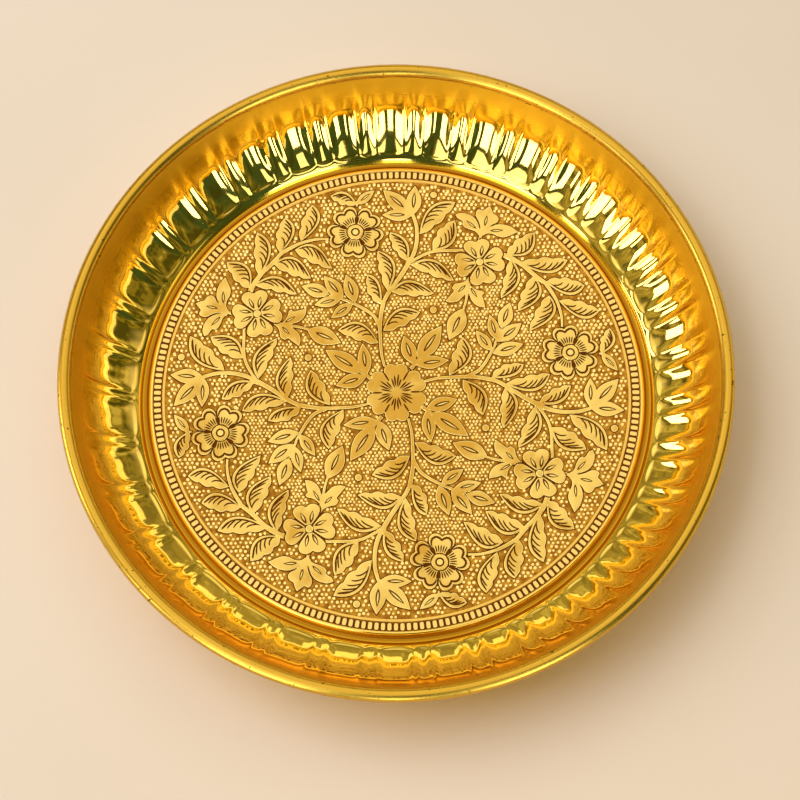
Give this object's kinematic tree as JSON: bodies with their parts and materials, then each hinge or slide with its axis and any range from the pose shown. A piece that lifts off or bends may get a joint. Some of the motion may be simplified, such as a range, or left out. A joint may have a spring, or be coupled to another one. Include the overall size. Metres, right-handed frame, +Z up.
{
  "type": "thali plate",
  "caption": "Round brass thali plate with an embossed floral floor, a foot groove, a fluted sloping wall and a rim curled over a wire.",
  "frame": {"origin": "on the dish's axis, on the surface that its foot groove stands on", "axes": "+Z up along the dish's axis, out of its open side; +X and +Y lie in the rim's plane"},
  "size_m": [0.254, 0.254, 0.0338],
  "materials": {
    "brass_sheet": "polished",
    "steel_wire": "drawn"
  },
  "bodies": {
    "root": {"pan": "brass_sheet", "rim_wire": "steel_wire"}
  },
  "joints": []
}
